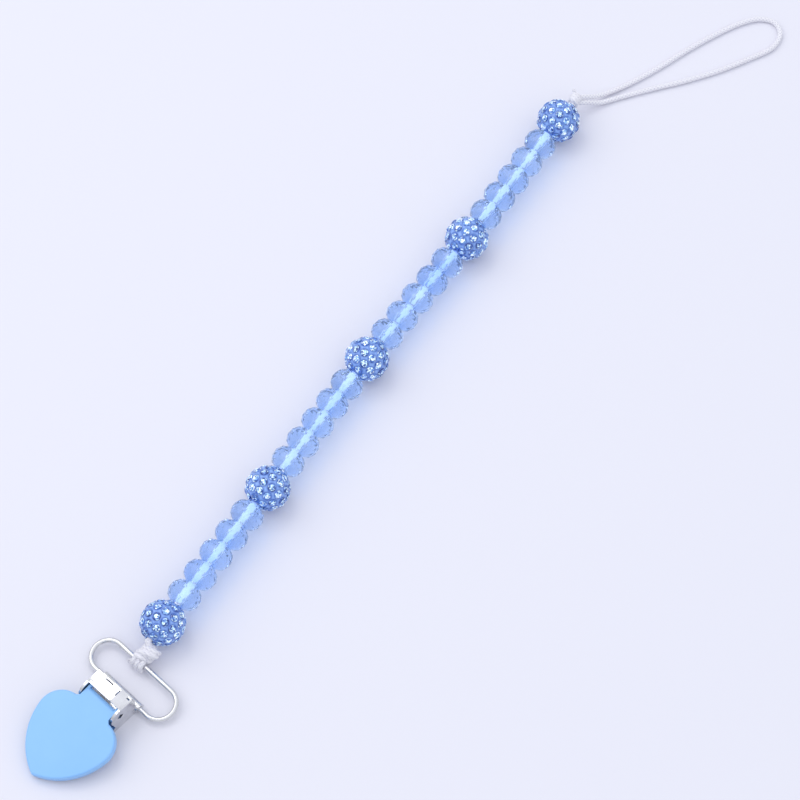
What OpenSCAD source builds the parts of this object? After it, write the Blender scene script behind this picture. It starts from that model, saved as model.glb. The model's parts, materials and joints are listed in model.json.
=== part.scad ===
// Beaded pacifier clip: a hinged heart clip, a wire loop, a strand of beads
// on one cord, and the cord loop that holds the pacifier.
// Millimetres. The strand runs away from the clip along +X and lies on z = 0.

/* [Clip body] */
// Width over the two side walls
body_w = 10.7; // [10:0.1:12]
// Sheet thickness of the body
sheet_t = 0.6; // [0.5:0.05:0.8]
// Height of the hinge axis above the table
pivot_z = 5.1; // [5:0.05:5.3]
// Radius of the ears that carry the hinge
ear_r = 2.7; // [2.5:0.05:2.8]
// Distance from the hinge axis to the front of the tongue
tongue_len = 18.9; // [16:0.1:19]
// Width of the tongue
tongue_w = 8.8; // [8:0.1:9]

/* [Heart cover] */
// Radius of the long side curves of the heart
side_r = 16.2; // [16:0.05:16.4]
// Sheet thickness of the cover, with its enamel
cover_t = 0.8; // [0.6:0.05:0.9]
// Depth of the turned-down rim
rim_depth = 2.1; // [1.5:0.05:2.2]
// Slope of the closed cover, down towards its tip
cover_tilt = 11.5; // [11:0.1:12]

/* [Wire loop] */
// Diameter of the wire
wire_d = 1.25; // [1:0.05:1.4]
// Distance between the two long bars, centre to centre
loop_span = 7.8; // [7:0.1:8.5]
// Straight length of each long bar
bar_len = 16.5; // [14:0.1:18]

/* [Beads] */
// Diameter of a crystal bead
crystal_d = 8; // [7.5:0.1:8]
// Length of a crystal bead along the cord
crystal_len = 5.8; // [5.4:0.05:6]
// Diameter of the clay core of a ball bead
clay_d = 10.2; // [9.8:0.1:10.3]
// Length of a ball bead along the cord
ball_len = 10.25; // [10:0.05:10.3]
// Space left between neighbouring beads
bead_gap = 0.3; // [0.25:0.05:0.4]
// Radius of the hole through every bead
bore_r = 0.85; // [0.8:0.01:1]
// Diameter of a round stone
stone_d = 2; // [1.8:0.05:2.1]

/* [Cord] */
// Diameter of the white cord
cord_d = 1.25; // [1.1:0.05:1.3]
// Diameter of the doubled cord inside the beads
core_d = 1.5; // [1.3:0.05:1.55]

/* [Hidden] */
$fn = 48;
crystals_per_run = 5;
ball_count = 5;
crystal_count = crystals_per_run * (ball_count - 1);
function ball_node(k, what) = str("ball_", k, "_", what);
function crystal_node(i) = str(i < 10 ? "crystal_0" : "crystal_", i);

nickel = "silver";
enamel = "lightskyblue";
white = "white";

// Body: side walls, flaps over the top and the rolled end that holds the wire
half_w = body_w / 2;
wall_in = half_w - sheet_t;
wall_front = -3.2;
wall_rear = 4.5;
flap_front = 0.3;
flap_rear = 3.95;
flap_under = pivot_z + 2.1;
flap_t = 0.4;
flap_seam_y = -1.9;
flap_seam_w = 0.25;
roll_x = 5.1;
roll_clear = 0.06;
roll_bore_r = wire_d / 2 + roll_clear;
roll_r = 1.25;
roll_len = 11.6;
boss_r = 0.88;
boss_in = 3.8;
dimple = 1.3;
dimple_depth = 1.1;

// Cover: heart outline in its own flat plane, hinge axis at the origin
side_c = [-7.4, -5.6];
lobe_c = [-8.8, 4.75];
lobe_r = side_r - norm(lobe_c - side_c);
meet_x = side_c.x + side_r * (lobe_c.x - side_c.x) / norm(lobe_c - side_c);
plate_top = 1.81;
plate_under = plate_top - cover_t;
neck_half = 4.55;
bend_r = 1.25;
bend_x = -0.95;
cam_half = 3.5;
cam_drop = 1.2;
tab_t = 0.6;
tab_r = 1.75;
tab_hole_r = 0.95;

// Jaw insert
insert_x = -18.2;
insert_len = 4;
insert_w = 7.2;
insert_t = 0.8;
tooth_h = 0.5;
tooth_count = 5;
peg_r = 0.78;
peg_hole_r = 0.82;
peg_y = 2.2;

// Wire loop, tipped up on the cord that passes under its outer bar
loop_tilt = 5.2;
loop_y = 0.2;
near_bar = [roll_x, 0, roll_r];
far_bar = near_bar + loop_span * [cos(loop_tilt), 0, sin(loop_tilt)];

// Strand: a straight run of five crystals between each pair of balls
run_turn = [9.7, 10.4, 7.8, 9.9];
ball_1 = [22.3, 4.1, 5.4];
crystal_pitch = crystal_len + bead_gap;
ball_step = (ball_len + crystal_len) / 2 + bead_gap;
run_len = 2 * ball_step + (crystals_per_run - 1) * crystal_pitch;
function heading(run) = [cos(run_turn[run]), sin(run_turn[run]), 0];
function ball_at(k) = k == 1 ? ball_1 : ball_at(k - 1) + run_len * heading(k - 2);
function run_of(i) = floor((i - 1) / crystals_per_run);
function place_in_run(i) = (i - 1) % crystals_per_run;
function crystal_at(i) = ball_at(run_of(i) + 1)
    + (ball_step + place_in_run(i) * crystal_pitch) * heading(run_of(i));
function ball_turn(k) = k == 1 ? run_turn[0]
    : k == ball_count ? run_turn[ball_count - 2]
    : (run_turn[k - 2] + run_turn[k - 1]) / 2;

// Stones: rings about the hole, [angle from the hole, stones in the ring]
stone_rings = [[26, 6], [51.5, 11], [77, 13], [103, 13], [128.5, 11], [154, 6]];
stone_seat = 4.85;
stone_h = 0.55;
stone_top_d = 1.2;

// Hitch round the outer bar and the knot between it and the first ball
hitch_y = 2.4;
hitch_turns = 3;
hitch_pitch = 1.15;
hitch_r = wire_d / 2 + 0.025 + cord_d;
ball_hole = ball_1 - ball_len / 2 * heading(0);
hitch_at = [far_bar.x, hitch_y, far_bar.z];
knot_end = [17.6, 1.7, 4.9];
knot_dir = knot_end - hitch_at;
knot_clear = 6.05;
knot_r = 2.1;
knot_turn_r = knot_r - cord_d / 2;
knot_turns = 4;
knot_start = 2.1;
knot_pitch = 1.05;

// Knot beyond the last ball
end_dir = heading(ball_count - 2);
end_hole = ball_at(ball_count) + ball_len / 2 * end_dir;
end_knot_r = 1.6;
end_knot_waist_r = 1.45;
end_knot_from = end_hole + 1.7 * end_dir + [0, 0, -0.4];
end_knot_to = end_hole + 3.3 * end_dir + [0, 0.3, -0.8];

// Cord loop: route in the strand's own frame, from the centre of the first
// ball, x along the strand and y to its left, z above the table
strand_turn = 9.5;
loop_d = 1.3;
loop_route = [
    [172.8, -0.1, 4.9], [174.3, -1.0, 4.2], [175.5, -1.9, 3.5], [176.9, -2.7, 2.6],
    [178.6, -3.5, 1.7], [180.8, -4.5, 1.0], [185.0, -6.7, 0.7], [190.0, -9.0, 0.7],
    [196.0, -11.4, 0.7], [203.0, -13.9, 0.7], [210.0, -16.8, 0.7], [217.0, -20.3, 0.7],
    [221.4, -23.8, 0.7], [222.7, -27.7, 0.7], [220.4, -30.8, 0.7], [215.6, -31.2, 0.7],
    [209.7, -28.2, 0.7], [202.3, -23.8, 0.7], [195.1, -18.6, 0.7], [188.5, -13.1, 0.7],
    [183.1, -8.8, 0.7], [179.6, -6.2, 0.8], [177.2, -4.6, 1.2], [175.6, -3.4, 2.1],
    [174.2, -2.2, 3.0], [172.4, -0.85, 3.75]];
loop_sides = 8;
steps_per_leg = 2;

// Turns shape that stands along +Z so that it lies along a direction
module along(direction) {
    side = norm([direction.x, direction.y]);
    rotate([0, atan2(side, direction.z), atan2(direction.y, direction.x)]) children();
}

// Rod along Y, centred on its middle
module rod_y(r, len) rotate([90, 0, 0]) cylinder(r = r, h = len, center = true);

// Ring of round cord, standing across +Z
module cord_turn(ring_r, d) rotate_extrude() translate([ring_r, 0]) circle(d = d, $fn = 24);

// ---- clip body ----
module wall_profile() {
    polygon([[wall_front, 0], [wall_front, 0.9], [-1.9, 1.8], [-2.3, 3.7], [0, pivot_z],
        [flap_front, flap_under], [flap_rear, flap_under], [wall_rear, flap_under - 0.8],
        [wall_rear, 0]]);
    translate([0, pivot_z]) circle(r = ear_r);
}

module side_wall(side) {
    translate([0, side > 0 ? half_w : -wall_in, 0]) rotate([90, 0, 0])
        linear_extrude(sheet_t) wall_profile();
    translate([0, side * (wall_in + boss_in) / 2, pivot_z]) rod_y(boss_r, wall_in - boss_in);
}

module flap(y_from, y_to, notch_from, notch_to) {
    difference() {
        translate([flap_front, y_from, flap_under])
            cube([flap_rear - flap_front, y_to - y_from, flap_t]);
        translate([flap_rear - 0.7, notch_from, flap_under - 1])
            cube([2, notch_to - notch_from, 2]);
    }
}

module base_plate() {
    nose_r = tongue_w / 2;
    translate([wall_front, -half_w, 0]) cube([roll_x - wall_front, body_w, sheet_t]);
    translate([nose_r - tongue_len, -nose_r, 0])
        cube([tongue_len - nose_r, tongue_w, sheet_t]);
    translate([nose_r - tongue_len, 0, 0]) cylinder(r = nose_r, h = sheet_t);
}

module clip_body() {
    color(nickel) difference() {
        union() {
            base_plate();
            for (side = [-1, 1]) side_wall(side);
            flap(flap_seam_y + flap_seam_w / 2, half_w, 0.2, 2.7);
            flap(-half_w, flap_seam_y - flap_seam_w / 2, -4.9, -4.1);
            translate(near_bar) rod_y(roll_r, roll_len);
        }
        translate(near_bar) rod_y(roll_bore_r, body_w + 4);
        for (side = [-1, 1]) {
            translate([0, side * (half_w - dimple_depth / 2 + 0.5), pivot_z])
                rotate([0, 45, 0]) cube([dimple, dimple_depth + 1, dimple], center = true);
            translate([insert_x + insert_len / 2, side * peg_y, -1])
                cylinder(r = peg_hole_r, h = 3);
        }
    }
}

module jaw_insert() {
    tooth = (insert_len - 0.4) / tooth_count;
    color("whitesmoke") {
        translate([insert_x, -insert_w / 2, sheet_t])
            cube([insert_len, insert_w, insert_t]);
        for (i = [0:tooth_count - 1])
            translate([insert_x + 0.2 + i * tooth, insert_w / 2, sheet_t + insert_t])
                rotate([90, 0, 0]) linear_extrude(insert_w)
                    polygon([[0, -0.1], [0, 0], [tooth / 2, tooth_h], [tooth, 0], [tooth, -0.1]]);
        for (side = [-1, 1])
            translate([insert_x + insert_len / 2, side * peg_y, 0.1])
                cylinder(r = peg_r, h = sheet_t);
    }
}

// ---- heart cover ----
module half_heart(inset) {
    intersection() {
        translate(side_c) circle(r = side_r - inset, $fn = 96);
        translate([meet_x - 20, 0]) square([20, 20]);
    }
    translate(lobe_c) circle(r = lobe_r - inset);
    translate([meet_x, 0]) square([lobe_c.x + lobe_r - 0.6 - inset - meet_x, lobe_c.y]);
}

module heart(inset) {
    half_heart(inset);
    mirror([0, 1]) half_heart(inset);
}

module heart_shell() {
    translate([0, 0, plate_under]) linear_extrude(cover_t - 0.35) heart(0);
    translate([0, 0, plate_top - 0.4]) linear_extrude(0.4) heart(0.35);
    translate([0, 0, plate_top - rim_depth - 0.2])
        linear_extrude(rim_depth - cover_t + 0.4) difference() {
            heart(0);
            heart(cover_t);
            translate([-6, -neck_half]) square([6, 2 * neck_half]);
        }
}

module neck() {
    translate([-6, -neck_half, plate_under])
        cube([6 + bend_x, 2 * neck_half, cover_t]);
    difference() {
        translate([bend_x, 0, plate_top - bend_r]) rod_y(bend_r, 2 * neck_half);
        translate([bend_x, 0, plate_top - bend_r]) rod_y(bend_r - cover_t, 20);
        for (side = [-1, 1]) translate([0, side * neck_half, 0])
            rod_y(tab_hole_r, 2 * (neck_half - boss_in + 0.2));
        translate([bend_x - 5, -10, -5]) cube([5, 20, 10]);
        translate([-5, -10, plate_top - bend_r - 5]) cube([10, 20, 5]);
    }
    translate([bend_x + bend_r - cover_t, -cam_half, -cam_drop])
        cube([cover_t, 2 * cam_half, cam_drop + plate_top - bend_r]);
}

module hinge_tab(side) {
    translate([0, side * (neck_half - tab_t / 2), 0]) difference() {
        union() {
            rod_y(tab_r, tab_t);
            translate([-2.6, -tab_t / 2, 0.4]) cube([1.9, tab_t, plate_under - 0.3]);
        }
        rod_y(tab_hole_r, 2);
    }
}

module heart_cover() {
    color(enamel) translate([0, 0, pivot_z]) rotate([0, -cover_tilt, 0]) {
        heart_shell();
        neck();
        for (side = [-1, 1]) hinge_tab(side);
    }
}

// ---- wire loop ----
module wire_loop() {
    end_r = loop_span / 2;
    color(nickel) translate(near_bar + [0, loop_y, 0]) rotate([0, -loop_tilt, 0]) {
        for (x = [0, loop_span]) translate([x, 0, 0]) rod_y(wire_d / 2, bar_len);
        for (turn = [0, 180])
            translate([end_r, (turn == 0 ? 1 : -1) * bar_len / 2, 0]) rotate([0, 0, turn])
                rotate_extrude(angle = 180) translate([end_r, 0]) circle(d = wire_d);
    }
}

// ---- knots ----
module cord_hitch() {
    color(white) for (i = [0:hitch_turns - 1])
        translate(hitch_at + [0, (i - (hitch_turns - 1) / 2) * hitch_pitch, 0])
            rotate([90, 0, 0]) cord_turn(hitch_r - cord_d / 2, cord_d);
}

module clip_knot() {
    color(white) difference() {
        translate(hitch_at) along(knot_dir) {
            for (i = [0:knot_turns - 1])
                translate([0, 0, knot_start + i * knot_pitch])
                    cord_turn(knot_turn_r, cord_d);
            translate([0, 0, 1.5]) cylinder(r = knot_turn_r, h = 4.4);
        }
        translate(hitch_at) rod_y(hitch_r + 0.1, 20);
        translate(ball_1) sphere(r = knot_clear);
    }
}

module end_knot() {
    color(white) {
        difference() {
            union() {
                for (at = [end_knot_from, end_knot_to]) translate(at) sphere(r = end_knot_r);
                translate(end_knot_from) along(end_knot_to - end_knot_from)
                    cylinder(r = end_knot_waist_r, h = norm(end_knot_to - end_knot_from));
            }
            translate(ball_at(ball_count)) sphere(r = clay_d / 2 + 0.6);
        }
        translate(end_knot_to) along([0.6, 1, 0.9]) cylinder(d = 1, h = 2.6);
    }
}

// ---- beads ----
module crystal(i) {
    half = crystal_len / 2;
    r = crystal_d / 2;
    color("lightsteelblue") translate(crystal_at(i)) along(heading(run_of(i)))
        rotate_extrude() polygon([[bore_r, -half], [1.5, -half], [r - 1.1, -0.78 * half],
            [r - 0.25, -0.38 * half], [r, -0.1 * half], [r, 0.1 * half],
            [r - 0.25, 0.38 * half], [r - 1.1, 0.78 * half], [1.5, half], [bore_r, half]]);
}

module ball_clay(k) {
    color("cornflowerblue") translate(ball_at(k)) rotate([0, 90, ball_turn(k)]) difference() {
        sphere(d = clay_d);
        cylinder(r = bore_r + 0.05, h = 20, center = true);
    }
}

module ball_stones(k) {
    color("steelblue") translate(ball_at(k)) rotate([0, 90, ball_turn(k)])
        for (ring = stone_rings, i = [0:ring[1] - 1])
            rotate([0, 0, (i + ring[0] / 45) * 360 / ring[1]]) rotate([0, ring[0], 0])
                translate([0, 0, stone_seat])
                    cylinder(d1 = stone_d, d2 = stone_top_d, h = stone_h, $fn = 24);
}

// ---- cords: round tubes swept along their routes ----
function on_table(p) = ball_1 + [
    p.x * cos(strand_turn) - p.y * sin(strand_turn),
    p.x * sin(strand_turn) + p.y * cos(strand_turn),
    p.z - ball_1.z];
function point_of(route, i) = route[max(0, min(len(route) - 1, i))];
function smooth_point(route, i, t) =
    let (a = point_of(route, i - 1), b = point_of(route, i),
         c = point_of(route, i + 1), d = point_of(route, i + 2))
    0.5 * (2 * b + (c - a) * t + (2 * a - 5 * b + 4 * c - d) * t * t
        + (3 * b - a - 3 * c + d) * t * t * t);
function smooth_route(route) = concat(
    [for (i = [0:len(route) - 2], s = [0:steps_per_leg - 1])
        smooth_point(route, i, s / steps_per_leg)],
    [route[len(route) - 1]]);
function unit(v) = v / norm(v);
function ring_at(points, i, d) =
    let (tangent = unit(point_of(points, i + 1) - point_of(points, i - 1)),
         side = unit(cross([0, 0, 1], tangent)), up = cross(tangent, side))
    [for (k = [0:loop_sides - 1])
        let (a = 360 * k / loop_sides) points[i] + d / 2 * (cos(a) * side + sin(a) * up)];

module cord_tube(points, d) {
    rings = [for (i = [0:len(points) - 1]) each ring_at(points, i, d)];
    last = (len(points) - 1) * loop_sides;
    walls = [for (i = [0:len(points) - 2], k = [0:loop_sides - 1])
        let (a = i * loop_sides + k, b = i * loop_sides + (k + 1) % loop_sides)
        each [[a, a + loop_sides, b], [b, a + loop_sides, b + loop_sides]]];
    first_cap = [for (k = [0:loop_sides - 1]) k];
    last_cap = [for (k = [0:loop_sides - 1]) last + loop_sides - 1 - k];
    polyhedron(rings, concat([first_cap, last_cap], walls));
}

module core_cord() {
    start = ball_hole - 0.9 * heading(0);
    finish = end_hole + 0.45 * end_dir;
    stops = concat([start], [for (k = [1:ball_count]) ball_at(k)], [finish]);
    color(white) cord_tube(stops, core_d);
}

module pacifier_loop() {
    color(white) cord_tube(smooth_route([for (p = loop_route) on_table(p)]), loop_d);
}

clip_body();
jaw_insert();
heart_cover();
wire_loop();
cord_hitch();
clip_knot();
for (k = [1:ball_count]) {
    ball_clay(k);
    ball_stones(k);
}
for (i = [1:crystal_count])
    crystal(i);
core_cord();
end_knot();
pacifier_loop();
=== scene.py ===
import json
import math
import random

import bmesh
import bpy
from mathutils import Matrix, Vector, kdtree


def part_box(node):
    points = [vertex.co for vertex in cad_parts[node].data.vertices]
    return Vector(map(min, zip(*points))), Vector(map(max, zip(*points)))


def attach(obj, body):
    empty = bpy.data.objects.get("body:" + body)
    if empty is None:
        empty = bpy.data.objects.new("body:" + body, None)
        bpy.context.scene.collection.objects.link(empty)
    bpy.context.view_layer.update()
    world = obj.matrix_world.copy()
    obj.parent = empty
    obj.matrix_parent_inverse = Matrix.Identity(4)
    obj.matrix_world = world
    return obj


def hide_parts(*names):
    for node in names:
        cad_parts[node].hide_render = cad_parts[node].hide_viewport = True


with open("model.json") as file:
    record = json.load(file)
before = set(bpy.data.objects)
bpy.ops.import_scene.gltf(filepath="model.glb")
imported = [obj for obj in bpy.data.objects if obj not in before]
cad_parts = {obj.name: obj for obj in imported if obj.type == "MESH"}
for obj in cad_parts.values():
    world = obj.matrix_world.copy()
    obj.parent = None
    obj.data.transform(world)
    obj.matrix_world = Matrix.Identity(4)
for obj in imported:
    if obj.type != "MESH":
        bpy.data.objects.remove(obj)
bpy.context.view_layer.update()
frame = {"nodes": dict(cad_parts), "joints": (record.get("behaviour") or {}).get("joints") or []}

# Pieces are drawn in millimetres and brought to metres when they are finished.
MM = 0.001
ALONG_Y = Matrix.Rotation(math.radians(90), 4, "X")


# ---- places, from the frame ----
def joint_at(name):
    """Where a joint's axis passes, in millimetres."""
    found = next(j for j in frame["joints"] if j["name"] == name)
    return Vector(found["pos_m"]) / MM


def centre_of(node):
    low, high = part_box(node)
    return (low + high) / 2 / MM


def bead_frame(start, end):
    """Middle of a bead, with +Z along its hole from start to end."""
    reach = end - start
    turn = math.atan2(reach.y, reach.x)
    return (Matrix.Translation((start + end) / 2) @ Matrix.Rotation(turn, 4, "Z")
            @ Matrix.Rotation(math.radians(90), 4, "Y"))


BALLS = [f"ball_{k}" for k in range(1, 6)]
STRAND = [j["child"] for j in frame["joints"]
          if j["child"].split("_")[0] in ("ball", "crystal", "tail")]
PIVOTS = {j["child"]: Vector(j["pos_m"]) / MM for j in frame["joints"] if j["child"] in STRAND}
HINGE = joint_at("cover_hinge")
FAR_BAR = joint_at("knot_swing")
FIRST_BALL = centre_of("ball_1_clay")
LAST_BALL = centre_of("ball_5_clay")


# ---- shader maths ----
class Wire:
    """A shader value. Arithmetic on it adds Math nodes."""

    def __init__(self, finish, socket):
        self.finish = finish
        self.socket = socket

    def math(self, operation, *others):
        values = dict(enumerate((self, *others)))
        return self.finish.node("ShaderNodeMath", {"operation": operation}, values)

    def __add__(self, other):
        return self.math("ADD", other)

    def __radd__(self, other):
        return self.math("ADD", other)

    def __sub__(self, other):
        return self.math("SUBTRACT", other)

    def __rsub__(self, other):
        return self.finish.node("ShaderNodeMath", {"operation": "SUBTRACT"}, {0: other, 1: self})

    def __mul__(self, other):
        return self.math("MULTIPLY", other)

    def __rmul__(self, other):
        return self.math("MULTIPLY", other)


class Finish:
    """One material, with the name of its slot."""

    def __init__(self, name, slot):
        self.slot = slot
        self.material = bpy.data.materials.new(name)
        self.material.use_nodes = True
        self.tree = self.material.node_tree
        self.tree.nodes.clear()

    def node(self, kind, settings=None, values=None, output=0):
        """Adds a node: its settings first, then the values or wires of its sockets."""
        made = self.tree.nodes.new(kind)
        for key, value in (settings or {}).items():
            if key == "stops":
                while len(made.color_ramp.elements) < len(value):
                    made.color_ramp.elements.new(1)
                for element, (place, colour) in zip(made.color_ramp.elements, value):
                    element.position = place
                    element.color = (*colour, 1)
            else:
                setattr(made, key, value)
        for key, value in (values or {}).items():
            if isinstance(value, Wire):
                self.tree.links.new(value.socket, made.inputs[key])
            else:
                made.inputs[key].default_value = value
        return Wire(self, made.outputs[output])

    def place(self):
        return self.node("ShaderNodeTexCoord", output="Object")

    def attribute(self, name, output="Fac"):
        return self.node("ShaderNodeAttribute", {"attribute_name": name}, output=output)

    def noise(self, scale, detail=3, roughness=0.5, vector=None):
        return self.node("ShaderNodeTexNoise", None, {
            "Vector": vector or self.place(), "Scale": scale, "Detail": detail, "Roughness": roughness})

    def ramp(self, value, stops):
        return self.node("ShaderNodeValToRGB", {"stops": stops}, {"Fac": value})

    def spread(self, value, low, high, start=0.3, end=0.7):
        """Carries a value from the range start to end over to the range low to high."""
        return self.node("ShaderNodeMapRange", None, {
            "Value": value, "From Min": start, "From Max": end, "To Min": low, "To Max": high})

    def bump(self, height, depth, strength=1.0):
        """Height in units of depth, which is in metres."""
        return self.node("ShaderNodeBump", None, {
            "Height": height, "Distance": depth, "Strength": strength})

    def shade(self, values):
        """Principled surface on the material's output."""
        surface = self.node("ShaderNodeBsdfPrincipled", None, values)
        self.show(surface)

    def show(self, surface):
        output = self.tree.nodes.new("ShaderNodeOutputMaterial")
        self.tree.links.new(surface.socket, output.inputs["Surface"])


def nickel_finish():
    """Bright plated steel: faint smears in the shine and fine rubbed marks."""
    f = Finish("bright nickel", "nickel")
    smear = f.noise(350, 4)
    rubbed = f.noise(2600, 2)
    f.shade({
        "Base Color": f.ramp(smear, ((0.3, (0.66, 0.66, 0.68)), (0.7, (0.80, 0.80, 0.81)))),
        "Metallic": 1.0,
        "Roughness": f.spread(smear, 0.10, 0.20),
        "Normal": f.bump(rubbed, 0.00001, 0.4)})
    return f


def enamel_finish():
    """Satin light blue enamel: a faint cloud in its tone and a slight orange peel."""
    f = Finish("light blue enamel", "enamel")
    cloud = f.noise(160, 3)
    peel = f.noise(1500, 2)
    f.shade({
        "Base Color": f.ramp(cloud, ((0.3, (0.258, 0.545, 0.96)), (0.7, (0.275, 0.565, 0.98)))),
        "Roughness": f.spread(cloud, 0.36, 0.44),
        "Coat Weight": 0.25,
        "Coat Roughness": 0.25,
        "Normal": f.bump(peel, 0.00002, 0.35)})
    return f


def insert_finish():
    """Milky plastic of the pad inside the jaw."""
    f = Finish("milky plastic", "insert")
    cloud = f.noise(400, 3)
    f.shade({
        "Base Color": f.ramp(cloud, ((0.3, (0.78, 0.80, 0.84)), (0.7, (0.88, 0.90, 0.93)))),
        "Roughness": 0.45,
        "Normal": f.bump(f.noise(2500, 2), 0.00002, 0.3)})
    return f


def crystal_finish():
    """Clear light blue cut glass, which tints the light that it lets through."""
    f = Finish("light sapphire crystal", "crystal")
    streak = f.noise(120, 2)
    glass = f.node("ShaderNodeBsdfPrincipled", None, {
        "Base Color": f.ramp(streak, ((0.3, (0.44, 0.63, 0.985)), (0.7, (0.58, 0.74, 1.0)))),
        "Roughness": 0.035,
        "IOR": 1.46,
        "Transmission Weight": 0.86})
    tint = f.node("ShaderNodeBsdfTransparent", None, {"Color": (0.62, 0.80, 1.0, 1)})
    lamp = f.node("ShaderNodeLightPath", output="Is Shadow Ray")
    f.show(f.node("ShaderNodeMixShader", None, {0: lamp, 1: glass, 2: tint}))
    return f


def clay_finish():
    """Periwinkle resin clay, with painted shade where it dips round each stone."""
    f = Finish("periwinkle clay", "clay")
    dip = f.attribute("dip")
    speck = f.noise(1400, 3)
    # Painted shade near each stone, mixed with a random speck in the clay's tone.
    tone = dip * 0.75 + speck * 0.25
    f.shade({
        "Base Color": f.ramp(tone, ((0.1, (0.28, 0.48, 0.95)), (0.9, (0.06, 0.14, 0.54)))),
        "Roughness": f.spread(speck, 0.28, 0.45),
        "Coat Weight": 0.3,
        "Coat Roughness": 0.15,
        "Normal": f.bump(speck, 0.00005, 0.5)})
    return f


def stone_finish():
    """Foil-backed sapphire stones: each facet carries its own painted sparkle, a painted reflection in
    its colour and a faint painted glow.
    """
    f = Finish("foil-backed sapphire", "stone")
    flash = f.attribute("flash")
    # Painted reflection: the base colour runs from dark to near white with each facet's painted
    # sparkle, and the brightest facets glow.
    f.shade({
        "Base Color": f.ramp(flash, (
            (0.0, (0.02, 0.06, 0.28)), (0.3, (0.09, 0.24, 0.76)),
            (0.55, (0.30, 0.58, 1.0)), (0.8, (0.72, 0.94, 1.0)), (1.0, (0.97, 1.0, 1.0)))),
        "Metallic": 0.35,
        "Roughness": f.spread(flash, 0.05, 0.14, 0.0, 1.0),
        "Coat Weight": 1.0,
        "Coat Roughness": 0.03,
        "Emission Color": f.ramp(flash, ((0.5, (0.0, 0.0, 0.0)), (0.9, (0.55, 0.85, 1.0)))),
        "Emission Strength": 0.3})
    return f


YARN_FIBRES = 12
FIBRE_PITCH = 9.0


def cord_finish(name, glow):
    """White braided polyester: two sets of fine yarns that cross round the cord, with painted shade in
    the grooves between them.

    The glow stands for the light that a clear bead gathers on the cord inside it.
    """
    f = Finish(name, "cord")
    weave = f.attribute("weave", "Vector")
    turn_cos, turn_sin, run = (
        f.node("ShaderNodeSeparateXYZ", None, {0: weave}, output=axis) for axis in ("X", "Y", "Z"))
    turn = turn_sin.math("ARCTAN2", turn_cos)
    yarn = (turn * YARN_FIBRES + run * FIBRE_PITCH).math("SINE")
    yarn_back = (turn * YARN_FIBRES - run * FIBRE_PITCH).math("SINE")
    relief = f.attribute("relief")
    fuzz = f.noise(3000, 4)
    # Painted shade: the low parts of the braid are darker, with a random fuzz in the tone.
    shade = relief * 0.8 + fuzz * 0.2
    f.shade({
        "Base Color": f.ramp(shade, (
            (0.1, (0.62, 0.60, 0.70)), (0.55, (0.86, 0.85, 0.92)), (0.9, (0.95, 0.94, 0.97)))),
        "Roughness": 0.75,
        "Sheen Weight": 0.3,
        "Emission Color": (1.0, 0.96, 0.96, 1),
        "Emission Strength": glow,
        "Normal": f.bump(yarn.math("MAXIMUM", yarn_back) * 0.6 + fuzz * 0.4, 0.00006, 0.7)})
    return f


def floor_finish():
    """Plain pale table."""
    f = Finish("pale table", "table")
    f.shade({
        "Base Color": (0.81, 0.805, 0.875, 1),
        "Roughness": 0.7,
        "Specular IOR Level": 0.2})
    return f


NICKEL = nickel_finish()
ENAMEL = enamel_finish()
INSERT = insert_finish()
CRYSTAL = crystal_finish()
CLAY = clay_finish()
STONE = stone_finish()
CORD = cord_finish("white braided cord", 0.0)
LIT_CORD = cord_finish("white cord inside clear beads", 0.75)


# ---- pieces ----
def finish_piece(name, bm, finish, body, stands_for=(), smooth_to=None):
    """Makes the drawn mesh a piece in metres that rides on a body."""
    bmesh.ops.scale(bm, vec=(MM, MM, MM), verts=bm.verts)
    mesh = bpy.data.meshes.new(name)
    bm.to_mesh(mesh)
    bm.free()
    for face in mesh.polygons:
        face.use_smooth = smooth_to is not None
    if smooth_to is not None:
        mesh.set_sharp_from_angle(angle=math.radians(smooth_to))
    mesh.materials.append(finish.material)
    piece = bpy.data.objects.new(name, mesh)
    bpy.context.scene.collection.objects.link(piece)
    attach(piece, body)
    if stands_for:
        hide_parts(*stands_for)
    return piece


def soften_edges(piece, width, angle=35):
    """A small live bevel that catches the light along an edge."""
    bevel = piece.modifiers.new("edge", "BEVEL")
    bevel.width = width * MM
    bevel.segments = 2
    bevel.limit_method = "ANGLE"
    bevel.angle_limit = math.radians(angle)
    bevel.harden_normals = True
    return piece


def merged_copy(node):
    """The node's own mesh in millimetres, with its triangles joined into flat faces."""
    bm = bmesh.new()
    bm.from_mesh(frame["nodes"][node].data)
    bmesh.ops.scale(bm, vec=(1 / MM,) * 3, verts=bm.verts)
    bmesh.ops.remove_doubles(bm, verts=bm.verts, dist=0.002)
    join_flat_faces(bm, 1)
    return bm


def join_flat_faces(bm, degrees):
    bmesh.ops.dissolve_limit(bm, angle_limit=math.radians(degrees), verts=bm.verts, edges=bm.edges,
                             use_dissolve_boundaries=False, delimit=set())


def close_up(bm):
    """Turns every face outward."""
    bmesh.ops.recalc_face_normals(bm, faces=bm.faces)
    return bm


def ring_edges(made):
    return list({e for v in made["verts"] for e in v.link_edges})


def new_edges(made):
    """Edges that an extrusion has carried away, without those that lead to them."""
    return [e for e in made["geom"] if isinstance(e, bmesh.types.BMEdge)
            and all(v in made["geom"] for v in e.verts)]


# ---- cords ----
BRAID_STRANDS = 4
BRAID_PITCH = 0.95
BRAID_DEPTH = 0.035
CORD_R = 0.62


def tangent_frames(path):
    """One frame a point, carried along the path without twist, with +Z along it."""
    frames = []
    last = None
    for i, point in enumerate(path):
        ahead = (path[min(i + 1, len(path) - 1)] - path[max(i - 1, 0)]).normalized()
        if last is None:
            turn = ahead.to_track_quat("Z", "Y")
        else:
            turn = last[0].rotation_difference(ahead) @ last[1]
        frames.append(Matrix.LocRotScale(point, turn, None))
        last = (ahead, turn)
    return frames


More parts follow.
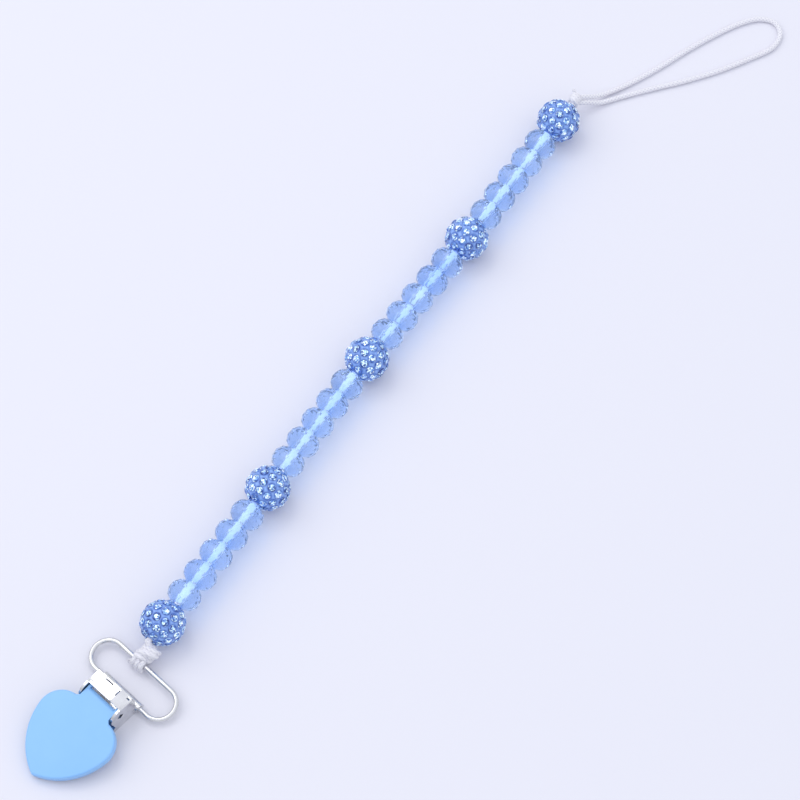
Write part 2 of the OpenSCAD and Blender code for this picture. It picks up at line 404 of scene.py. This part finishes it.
def sweep_cord(bm, path, radius, sides=16):
    """Sweeps a braided cord along the path: one ring a point, its ends rounded over."""
    weave = bm.verts.layers.float_vector.get("weave") or bm.verts.layers.float_vector.new("weave")
    relief = bm.verts.layers.float.get("relief") or bm.verts.layers.float.new("relief")
    frames = tangent_frames(path)
    rounding = [math.radians(a) for a in (20, 45, 70)]
    start, end = frames[0], frames[-1]
    lead = [(start @ Matrix.Translation((0, 0, -radius * math.cos(a))), math.sin(a)) for a in rounding]
    tail = [(end @ Matrix.Translation((0, 0, radius * math.cos(a))), math.sin(a))
            for a in reversed(rounding)]
    stations = lead + [(f, 1.0) for f in frames] + tail
    made = bmesh.ops.create_circle(bm, segments=sides, radius=radius, cap_ends=False)
    verts = made["verts"]
    for v in verts:
        v[weave] = v.co / radius
    edges = first_edges = ring_edges(made)
    run = 0.0
    for i, (place, swell) in enumerate(stations):
        if i > 0:
            run += (place.translation - stations[i - 1][0].translation).length
            made = bmesh.ops.extrude_edge_only(bm, edges=edges)
            edges = new_edges(made)
            verts = [v for v in made["geom"] if isinstance(v, bmesh.types.BMVert)]
        for v in verts:
            angle = math.atan2(v[weave].y, v[weave].x)
            cross = BRAID_STRANDS * angle
            along = 2 * math.pi * run / BRAID_PITCH
            height = max(math.cos(cross + along), math.cos(cross - along))
            v[weave] = Vector((math.cos(angle), math.sin(angle), run))
            # The braid's height, which the cord finish turns into painted shade in the grooves.
            v[relief] = 0.5 + 0.5 * height
            out = (radius + BRAID_DEPTH * (height - 1) * swell) * swell
            v.co = place @ Vector((out * math.cos(angle), out * math.sin(angle), 0))
    bmesh.ops.contextual_create(bm, geom=first_edges)
    bmesh.ops.contextual_create(bm, geom=edges)


def smooth_path(points, steps):
    """Catmull-Rom curve through the points, with this many steps a leg."""
    path = []
    for i in range(len(points) - 1):
        a, b = points[max(i - 1, 0)], points[i]
        c, d = points[i + 1], points[min(i + 2, len(points) - 1)]
        for s in range(steps):
            t = s / steps
            path.append(0.5 * (2 * b + (c - a) * t + (2 * a - 5 * b + 4 * c - d) * t * t
                               + (3 * b - a - 3 * c + d) * t * t * t))
    return path + [points[-1]]


def helix(place, radius, pitch, turns, start=0.0, steps=24, sway=0.0):
    """Turns about the place's +Z, centred on its origin."""
    count = int(turns * steps)
    path = []
    for i in range(count + 1):
        angle = start + 2 * math.pi * i / steps
        r = radius * (1 + sway * math.sin(1.7 * angle))
        height = pitch * (i / steps - turns / 2)
        path.append(place @ Vector((r * math.cos(angle), r * math.sin(angle), height)))
    return path


# ---- camera and the cord loop, which are made first ----
LENS = 137.0
CAMERA_AZIMUTH = math.radians(-46.2)
CAMERA_RISE = math.radians(61.6)
CAMERA_FAR = 720.6
LOOK_AT = Vector((102.72, 7.04, 0.0))


def add_camera():
    back = Vector((math.sin(CAMERA_AZIMUTH) * math.cos(CAMERA_RISE),
                   -math.cos(CAMERA_AZIMUTH) * math.cos(CAMERA_RISE), math.sin(CAMERA_RISE)))
    data = bpy.data.cameras.new("camera")
    data.lens = LENS
    data.sensor_width = 36
    data.clip_start = 0.01
    camera = bpy.data.objects.new("camera", data)
    camera.location = (LOOK_AT + back * CAMERA_FAR) * MM
    camera.rotation_mode = "QUATERNION"
    camera.rotation_quaternion = (-back).to_track_quat("-Z", "Y")
    bpy.context.scene.collection.objects.link(camera)
    bpy.context.scene.camera = camera


# The loop's route, as on the part: x runs along the strand from below the first
# ball's centre, y to its left, and z is the height above the table.
STRAND_TURN = math.radians(9.5)
LOOP_R = 0.65
LOOP_ROUTE = (
    (172.8, -0.1, 4.9), (174.3, -1.0, 4.2), (175.5, -1.9, 3.5), (176.9, -2.7, 2.6),
    (178.6, -3.5, 1.7), (180.8, -4.5, 1.0), (185.0, -6.7, 0.7), (190.0, -9.0, 0.7),
    (196.0, -11.4, 0.7), (203.0, -13.9, 0.7), (210.0, -16.8, 0.7), (217.0, -20.3, 0.7),
    (221.4, -23.8, 0.7), (222.7, -27.7, 0.7), (220.4, -30.8, 0.7), (215.6, -31.2, 0.7),
    (209.7, -28.2, 0.7), (202.3, -23.8, 0.7), (195.1, -18.6, 0.7), (188.5, -13.1, 0.7),
    (183.1, -8.8, 0.7), (179.6, -6.2, 0.8), (177.2, -4.6, 1.2), (175.6, -3.4, 2.1),
    (174.2, -2.2, 3.0), (172.4, -0.85, 3.75))


def add_pacifier_cord():
    """The free loop that takes the pacifier: one cord, both ends in the end knot."""
    turn = Matrix.Rotation(STRAND_TURN, 4, "Z")
    foot = Matrix.Translation((FIRST_BALL.x, FIRST_BALL.y, 0)) @ turn
    route = smooth_path([foot @ Vector(p) for p in LOOP_ROUTE], steps=26)
    bm = bmesh.new()
    sweep_cord(bm, route, LOOP_R)
    piece = finish_piece("pacifier_cord", close_up(bm), CORD, "tail", ["pacifier_loop"], 180)
    line = [p * MM for p in route]
    length = sum((b - a).length for a, b in zip(line, line[1:]))


# ---- clip ----
TILT = math.radians(-11.5)
PLATE_TOP = 1.81
COVER_T = 0.8
RIM_DEPTH = 2.1
RIM_ROUND = 0.75
SIDE_C = Vector((-7.4, -5.6, 0))
SIDE_R = 16.2
LOBE_C = Vector((-8.8, 4.75, 0))
NOTCH_Y = 5.2
NECK_HALF = 4.55
NECK_X = -2.5
BEND_X = -0.95
BEND_R = 1.25
CAM_HALF = 3.5
CAM_DROP = 1.2


def arc(bm, start, centre, angle, steps):
    """Carries a vertex round a centre and returns the vertex at the arc's end."""
    made = bmesh.ops.spin(bm, geom=[start], cent=centre, axis=(0, 0, 1), angle=angle, steps=steps,
                          dvec=(0, 0, 0))
    return next(g for g in made["geom_last"] if isinstance(g, bmesh.types.BMVert))


def line_to(bm, start, end):
    vert = bm.verts.new(end)
    bm.edges.new((start, vert))
    return vert


def bearing(centre, point):
    return math.atan2(point.y - centre.y, point.x - centre.x)


def add_heart_cover():
    """Pressed heart with a rolled edge, its neck bent down to the cam, and two hinge tabs."""
    bm = bmesh.new()
    lobe_r = SIDE_R - (LOBE_C - SIDE_C).length
    tip = Vector((SIDE_C.x - math.sqrt(SIDE_R ** 2 - SIDE_C.y ** 2), 0, 0))
    meet = bearing(SIDE_C, LOBE_C)
    notch = math.asin((NOTCH_Y - LOBE_C.y) / lobe_r)
    first = bm.verts.new(tip)
    last = arc(bm, first, SIDE_C, meet - bearing(SIDE_C, tip), 40)
    last = arc(bm, last, LOBE_C, notch - meet, 28)
    last = line_to(bm, last, (NECK_X, NECK_HALF, 0))
    last = line_to(bm, last, (BEND_X, NECK_HALF, 0))
    bmesh.ops.mirror(bm, geom=bm.verts[:] + bm.edges[:], matrix=Matrix(), merge_dist=0.001, axis="Y")
    neck_ends = [v for v in bm.verts if abs(v.co.x - BEND_X) < 0.001]
    front = bm.edges.new(neck_ends)
    outline = [e for e in bm.edges if e is not front]
    rim = [e for e in outline if max(v.co.x for v in e.verts) < NECK_X - 0.001]
    bmesh.ops.contextual_create(bm, geom=bm.edges[:])
    made = bmesh.ops.extrude_edge_only(bm, edges=rim)
    low = [g for g in made["geom"] if isinstance(g, bmesh.types.BMVert)]
    bmesh.ops.translate(bm, verts=low, vec=(0, 0, -RIM_DEPTH))
    bmesh.ops.bevel(bm, geom=rim, offset=RIM_ROUND, offset_type="OFFSET", segments=5, profile=0.5,
                    affect="EDGES", material=-1, clamp_overlap=True)
    front = next(e for e in bm.edges if all(abs(v.co.x - BEND_X) < 0.001 for v in e.verts))
    made = bmesh.ops.spin(bm, geom=[front, *front.verts], cent=(BEND_X, 0, -BEND_R), axis=(0, 1, 0),
                          angle=math.radians(90), steps=8, dvec=(0, 0, 0))
    last = [g for g in made["geom_last"] if isinstance(g, bmesh.types.BMEdge)]
    for drop in (0.0, PLATE_TOP - BEND_R + CAM_DROP):
        last = new_edges(bmesh.ops.extrude_edge_only(bm, edges=last))
        for v in {v for e in last for v in e.verts}:
            v.co.y = math.copysign(CAM_HALF, v.co.y)
            v.co.z -= drop
    bmesh.ops.remove_doubles(bm, verts=bm.verts, dist=0.001)
    bmesh.ops.recalc_face_normals(bm, faces=bm.faces)
    top = max(bm.faces, key=lambda f: f.calc_area())
    if top.normal.z < 0:
        bmesh.ops.reverse_faces(bm, faces=bm.faces)
    bmesh.ops.solidify(bm, geom=bm.faces[:], thickness=COVER_T)
    bmesh.ops.translate(bm, verts=bm.verts, vec=(0, 0, PLATE_TOP))
    for side in (-1, 1):
        add_hinge_tab(bm, side)
    lay = Matrix.Translation(HINGE) @ Matrix.Rotation(TILT, 4, "Y")
    bmesh.ops.transform(bm, matrix=lay, verts=bm.verts)
    cover = finish_piece("heart_shell", bm, ENAMEL, "cover", ["heart_cover"], 40)
    soften_edges(cover, 0.12)


TAB_R = 1.75
TAB_HOLE_R = 0.95
TAB_T = 0.6


def add_hinge_tab(bm, side):
    """Round plate with the hinge hole, under one edge of the neck."""
    middle = side * (NECK_HALF - TAB_T / 2)
    lay = Matrix.Translation((0, middle, 0)) @ ALONG_Y
    loops = []
    for z in (-TAB_T / 2, TAB_T / 2):
        for r in (TAB_R, TAB_HOLE_R):
            made = bmesh.ops.create_circle(bm, segments=32, radius=r, cap_ends=False,
                                           matrix=lay @ Matrix.Translation((0, 0, z)))
            loops.append(ring_edges(made))
    for a, b in ((0, 1), (2, 3), (0, 2), (1, 3)):
        bmesh.ops.bridge_loops(bm, edges=loops[a] + loops[b])
    faces = list({f for loop in loops for e in loop for f in e.link_faces})
    bmesh.ops.recalc_face_normals(bm, faces=faces)


# The flaps are what lies above FLAP_UNDER, in front of FLAP_FRONT, between the walls.
FLAP_UNDER = 7.15
FLAP_FRONT = 0.25
FLAP_SEAM = -1.9
WALL_IN = 4.7
LEFT_LIFT = 0.06
RIGHT_LIFT = 0.14


def add_clip_frame():
    """Pressed body: walls, ears and the rolled end; the flaps spring up a little at their seam."""
    bm = merged_copy("clip_body")
    for v in bm.verts:
        if v.co.z > FLAP_UNDER and FLAP_FRONT < v.co.x and abs(v.co.y) < WALL_IN:
            if v.co.y > FLAP_SEAM:
                v.co.z += LEFT_LIFT * (WALL_IN - v.co.y) + LEFT_LIFT * (v.co.x - FLAP_FRONT)
            else:
                v.co.z += RIGHT_LIFT * (WALL_IN + v.co.y)
    body = finish_piece("clip_frame", bm, NICKEL, "clip", ["clip_body"], 35)
    soften_edges(body, 0.09)
    pad = finish_piece("jaw_pad", merged_copy("jaw_insert"), INSERT, "clip", ["jaw_insert"], 35)
    soften_edges(pad, 0.06)


def dress_wire_loop():
    """The wire loop keeps the part's own mesh."""
    materials = frame["nodes"]["wire_loop"].data.materials
    materials.clear()
    materials.append(NICKEL.material)


# ---- knots ----
HITCH_Y = 2.4
HITCH_R = 1.275
HITCH_PITCH = 1.15
KNOT_R = 1.55
KNOT_PITCH = 0.92
KNOT_END = Vector((17.7, 1.2, 4.8))
KNOT_LEAN = 0.5
KNOT_CORE_R = 1.4
TAIL_CORE_R = 0.8
TAIL_TURN_R = 0.5
STUB_R = 0.42


def pointing(origin, direction):
    """Place at the origin, with +Z in the direction."""
    return Matrix.Translation(origin) @ direction.to_track_quat("Z", "Y").to_matrix().to_4x4()


def add_bar_hitch():
    """Three turns of cord round the outer bar."""
    bm = bmesh.new()
    bar = Matrix.Translation((FAR_BAR.x, HITCH_Y, FAR_BAR.z)) @ ALONG_Y
    wraps = helix(bar, HITCH_R, HITCH_PITCH, turns=3, start=math.radians(200))
    sweep_cord(bm, wraps, CORD_R)
    finish_piece("bar_hitch", close_up(bm), CORD, "hitch", ["cord_hitch"], 180)


def add_strap_knot():
    """Wraps round the two cords that run from the bar to the first ball, leaning along its curve."""
    bm = bmesh.new()
    bar = Vector((FAR_BAR.x, HITCH_Y, FAR_BAR.z))
    reach = (KNOT_END - bar).normalized()
    away = bar - FIRST_BALL
    away = (away - reach * away.dot(reach)).normalized()

    def leaned(path):
        return [p + reach * KNOT_LEAN * (p - bar).dot(away) for p in path]

    wraps = helix(pointing(bar + reach * 2.75, reach), KNOT_R, KNOT_PITCH, turns=3.8,
                  start=math.radians(40), sway=0.07)
    sweep_cord(bm, leaned(wraps), CORD_R)
    over = helix(pointing(bar + reach * 2.7, reach), KNOT_R + 0.3, pitch=2.4, turns=1.3,
                 start=math.radians(250), sway=0.05)
    sweep_cord(bm, leaned(over), CORD_R)
    sweep_cord(bm, [bar + reach * t for t in (1.9, 2.4, 2.9, 3.4, 3.9)], KNOT_CORE_R)
    for side in (-1, 1):
        leg = [bar + Vector((1.2, 1.1 * side, 1.5)),
               bar + reach * 1.9 + Vector((0, 0.8 * side, 0.4)),
               bar + reach * 3.6 + Vector((0, 0.5 * side, 0)),
               PIVOTS["ball_1"] + Vector((-0.3, 0.2 * side, 0))]
        sweep_cord(bm, smooth_path(leg, steps=10), CORD_R)
    finish_piece("strap_knot", close_up(bm), CORD, "knot", ["clip_knot"], 180)


def add_tail_knot():
    """Knot beyond the last ball: wraps, a last turn that stands up and the melted end of the cord."""
    bm = bmesh.new()
    out = (PIVOTS["tail"] - LAST_BALL).normalized()
    first = PIVOTS["tail"] + out * 1.6 + Vector((0, 0, -0.4))
    last = PIVOTS["tail"] + out * 3.1 + Vector((0, 0.3, -0.8))
    lie = (last - first).normalized()
    wraps = helix(pointing(first + lie * 0.5, lie), radius=0.95, pitch=0.9, turns=2.3,
                  start=math.radians(80), sway=0.08)
    sweep_cord(bm, wraps, CORD_R)
    sweep_cord(bm, [first - lie * 1.2, first, last, last + lie * 0.4], TAIL_CORE_R)
    last_turn = helix(pointing(last + lie * 0.35, lie), radius=1.0, pitch=0.5, turns=1.1,
                      start=math.radians(200))
    sweep_cord(bm, last_turn, TAIL_TURN_R)
    aside = (last - first).cross(Vector((0, 0, 1))).normalized() * -0.75
    root = last + lie * 0.7
    stub = [root + aside * 0.6 + Vector((0, 0, 0.3)),
            root + aside + Vector((0.3, 0, 0.8)),
            root + aside * 1.4 + Vector((0.6, 0.2, 1.2))]
    sweep_cord(bm, smooth_path(stub, steps=6), STUB_R)
    finish_piece("tail_knot", close_up(bm), CORD, "tail", ["end_knot"], 180)


# ---- beads ----
CORE_R = 0.75
CORE_SIDES = 12
CORE_STEPS = 24
CRYSTAL_SIDES = 12
CRYSTAL_HALF = 2.9
CRYSTAL_BORE = 0.85
# Rings of a crystal's corners: height, radius, half steps turned.
CRYSTAL_RINGS = (
    (CRYSTAL_HALF, 1.9, 0), (1.9, 3.42, 1), (0.7, 4.0, 0),
    (-0.7, 4.0, 1), (-1.9, 3.42, 0), (-CRYSTAL_HALF, 1.9, 1))


def add_corner_ring(bm, sides, radius, height, turn):
    """The corners of one ring, with no edges yet."""
    place = Matrix.Translation((0, 0, height)) @ Matrix.Rotation(turn, 4, "Z")
    made = bmesh.ops.create_circle(bm, segments=sides, radius=radius, cap_ends=False, matrix=place)
    bmesh.ops.delete(bm, geom=ring_edges(made), context="EDGES_FACES")


def wrap_corners(bm):
    """Flat facets over the corners."""
    bmesh.ops.convex_hull(bm, input=bm.verts[:])
    join_flat_faces(bm, 0.5)


def add_crystal(body, spin):
    """Cut rondelle: bands of triangular facets between the girdle and the hole."""
    bm = bmesh.new()
    step = 2 * math.pi / CRYSTAL_SIDES
    for height, radius, halves in CRYSTAL_RINGS:
        add_corner_ring(bm, CRYSTAL_SIDES, radius, height, halves * step / 2)
    wrap_corners(bm)
    bores = []
    for end in (-1, 1):
        cap = next(f for f in bm.faces if f.normal.z * end > 0.99)
        rim = list(cap.edges)
        bmesh.ops.delete(bm, geom=[cap], context="FACES_ONLY")
        turn = Matrix.Rotation(0 if end > 0 else step / 2, 4, "Z")
        made = bmesh.ops.create_circle(bm, segments=CRYSTAL_SIDES, radius=CRYSTAL_BORE, cap_ends=False,
                                       matrix=Matrix.Translation((0, 0, end * CRYSTAL_HALF)) @ turn)
        bores.append(ring_edges(made))
        bmesh.ops.bridge_loops(bm, edges=rim + bores[-1])
    bmesh.ops.bridge_loops(bm, edges=bores[0] + bores[1])
    place = bead_frame(PIVOTS[body], next_pivot(body)) @ Matrix.Rotation(spin, 4, "Z")
    bmesh.ops.transform(bm, matrix=place, verts=bm.verts)
    finish_piece(body + "_cut", close_up(bm), CRYSTAL, body, [body])


def next_pivot(body):
    return PIVOTS[STRAND[STRAND.index(body) + 1]]


# Stones stand in rings about the hole: angle from the hole, stones in the ring.
STONE_RINGS = ((26, 6), (51.5, 11), (77, 13), (103, 13), (128.5, 11), (154, 6))
STONE_R = 0.99
STONE_SEAT = 5.02
CLAY_R = 5.1
BALL_BORE = 0.9
BALL_SPIN = 1.3
STONE_LEAN = 7
# Each stone's painted sparkle is shifted up or down by at most this much.
STONE_SPARKLE_SHIFT = 0.15
# A stone's own rings: height, radius as a share of STONE_R, steps turned.
FACET_RINGS = ((-0.25, 0.9, 0), (0.03, 1, 0), (0.20, 0.80, 0.5), (0.33, 0.52, 0))
# Painted sparkle a facet may take, as painted reflections: the steep facets mostly dark, the flat table
# mostly bright.
STEEP_PAINTED_SPARKLE = (0.0, 0.1, 0.3, 0.5, 0.85)
FLAT_PAINTED_SPARKLE = (0.1, 0.45, 0.7, 0.9, 1.0)
# The clay dips under a stone and swells in a ring round it.
PIT_DEPTH = 0.22
RIM_HEIGHT = 0.07
RIM_AWAY = 1.1


def stone_turns():
    """Each stone's turn from the ball's hole, as on the part."""
    for angle, count in STONE_RINGS:
        for i in range(count):
            about = (i + angle / 45) * 2 * math.pi / count
            yield Matrix.Rotation(about, 4, "Z") @ Matrix.Rotation(math.radians(angle), 4, "Y")


def cut_stone():
    """One brilliant-cut stone as a mesh, its girdle at z = 0."""
    bm = bmesh.new()
    for height, share, steps in FACET_RINGS:
        add_corner_ring(bm, 8, STONE_R * share, height, steps * math.radians(45))
    wrap_corners(bm)
    table = max(bm.faces, key=lambda f: f.calc_center_median().z)
    bmesh.ops.poke(bm, faces=[table])
    bmesh.ops.recalc_face_normals(bm, faces=bm.faces)
    mesh = bpy.data.meshes.new("stone")
    bm.to_mesh(mesh)
    bm.free()
    return mesh


def add_stones(body, place, draw):
    """Foil-backed stones of one ball, each face with its own painted sparkle."""
    stone = cut_stone()
    bm = bmesh.new()
    flash = bm.faces.layers.float.new("flash")
    for turn in stone_turns():
        old_verts, old_faces = len(bm.verts), len(bm.faces)
        bm.from_mesh(stone)
        bm.verts.ensure_lookup_table()
        bm.faces.ensure_lookup_table()
        tip = Matrix.Rotation(math.radians(draw.uniform(-STONE_LEAN, STONE_LEAN)), 4, "X")
        spin = Matrix.Rotation(draw.uniform(0, 2 * math.pi), 4, "Z")
        seat = place @ turn @ Matrix.Translation((0, 0, STONE_SEAT)) @ tip @ spin
        # Painted reflection: each facet takes a painted sparkle, brighter on the flat table.
        sparkle_shift = draw.uniform(-STONE_SPARKLE_SHIFT, STONE_SPARKLE_SHIFT)
        for face in bm.faces[old_faces:]:
            choices = FLAT_PAINTED_SPARKLE if face.normal.z > 0.95 else STEEP_PAINTED_SPARKLE
            face[flash] = sparkle_shift + draw.choice(choices)
        bmesh.ops.transform(bm, matrix=seat, verts=bm.verts[old_verts:])
    bpy.data.meshes.remove(stone)
    finish_piece(body + "_rhinestones", bm, STONE, body, [body + "_stones"])


def share_of(value):
    return max(0.0, min(1.0, value))


def add_clay(body, place):
    """Clay core with a bore, dented where each stone sits, with painted shade round each stone."""
    seats = list(stone_turns())
    tree = kdtree.KDTree(len(seats))
    for i, turn in enumerate(seats):
        tree.insert(turn @ Vector((0, 0, CLAY_R)), i)
    tree.balance()
    bm = bmesh.new()
    dip = bm.verts.layers.float.new("dip")
    bmesh.ops.create_uvsphere(bm, u_segments=96, v_segments=64, radius=CLAY_R)
    inside = [v for v in bm.verts if math.hypot(v.co.x, v.co.y) < BALL_BORE]
    bmesh.ops.delete(bm, geom=inside, context="VERTS")
    bmesh.ops.bridge_loops(bm, edges=[e for e in bm.edges if e.is_boundary])
    for v in bm.verts:
        away = tree.find(v.co)[2]
        rim = math.exp(-((away - RIM_AWAY) / 0.1) ** 2)
        pit = share_of((1.0 - away) / 0.2)
        # Painted shade: the clay is marked darker the closer it lies to a stone.
        v[dip] = share_of((1.4 - away) / 0.45)
        v.co *= 1 + (RIM_HEIGHT * rim - PIT_DEPTH * pit) / CLAY_R
    bmesh.ops.transform(bm, matrix=place, verts=bm.verts)
    finish_piece(body + "_resin", close_up(bm), CLAY, body, [body + "_clay"], 60)


def add_core_cord(name, body, start, end, stands_for=()):
    """The doubled cord inside one bead, rounded at both gaps so that a bend shows no break."""
    bm = bmesh.new()
    path = [start.lerp(end, i / CORE_STEPS) for i in range(CORE_STEPS + 1)]
    sweep_cord(bm, path, CORE_R, CORE_SIDES)
    finish = CORD if body in BALLS else LIT_CORD
    finish_piece(name, close_up(bm), finish, body, stands_for, 180)


def add_beads():
    draw = random.Random(5)
    for k, body in enumerate(STRAND[:-1]):
        start, end = PIVOTS[body], next_pivot(body)
        add_core_cord("core_in_" + body, body, start, end, ["core_cord"] if k == 0 else ())
        if body in BALLS:
            place = bead_frame(start, end) @ Matrix.Rotation(k * BALL_SPIN, 4, "Z")
            add_clay(body, place)
            add_stones(body, place, draw)
        else:
            add_crystal(body, draw.uniform(0, math.pi))


# ---- stage ----
HORIZON = (0.53, 0.56, 0.59)
ZENITH = (1.06, 1.09, 1.18)


def add_floor():
    bm = bmesh.new()
    bmesh.ops.create_grid(bm, x_segments=4, y_segments=4, size=3)
    mesh = bpy.data.meshes.new("table")
    bm.to_mesh(mesh)
    bm.free()
    mesh.materials.append(floor_finish().material)
    table = bpy.data.objects.new("table", mesh)
    bpy.context.scene.collection.objects.link(table)


def add_light(name, place, aim, size, watts, colour):
    """Square area light, in metres."""
    data = bpy.data.lights.new(name, "AREA")
    data.size = size
    data.energy = watts
    data.color = colour
    lamp = bpy.data.objects.new(name, data)
    lamp.location = place
    lamp.rotation_mode = "QUATERNION"
    lamp.rotation_quaternion = (Vector(aim) - Vector(place)).to_track_quat("-Z", "Y")
    bpy.context.scene.collection.objects.link(lamp)


def add_studio():
    """Sky that dims towards the horizon, a soft key light and a small card light."""
    world = bpy.data.worlds.new("studio")
    world.use_nodes = True
    tree = world.node_tree
    sky = tree.nodes["Background"]
    where = tree.nodes.new("ShaderNodeTexCoord")
    split = tree.nodes.new("ShaderNodeSeparateXYZ")
    height = tree.nodes.new("ShaderNodeValToRGB")
    height.color_ramp.elements[0].color = (*HORIZON, 1)
    height.color_ramp.elements[1].color = (*ZENITH, 1)
    tree.links.new(where.outputs["Generated"], split.inputs[0])
    tree.links.new(split.outputs["Z"], height.inputs["Fac"])
    tree.links.new(height.outputs["Color"], sky.inputs["Color"])
    sky.inputs["Strength"].default_value = 1.0
    bpy.context.scene.world = world
    add_light("key", (-0.15, 0.70, 0.85), aim=(0.10, 0, 0), size=0.9, watts=2.2,
              colour=(1.0, 0.97, 0.93))
    add_light("card", (0.286, 0.521, 1.043), aim=(0, 0, 0), size=0.3, watts=0.7,
              colour=(1.0, 1.0, 1.0))


add_camera()
add_pacifier_cord()
add_clip_frame()
add_heart_cover()
dress_wire_loop()
add_bar_hitch()
add_strap_knot()
add_tail_knot()
add_beads()
add_floor()
add_studio()
bpy.context.scene.view_settings.view_transform = "Standard"
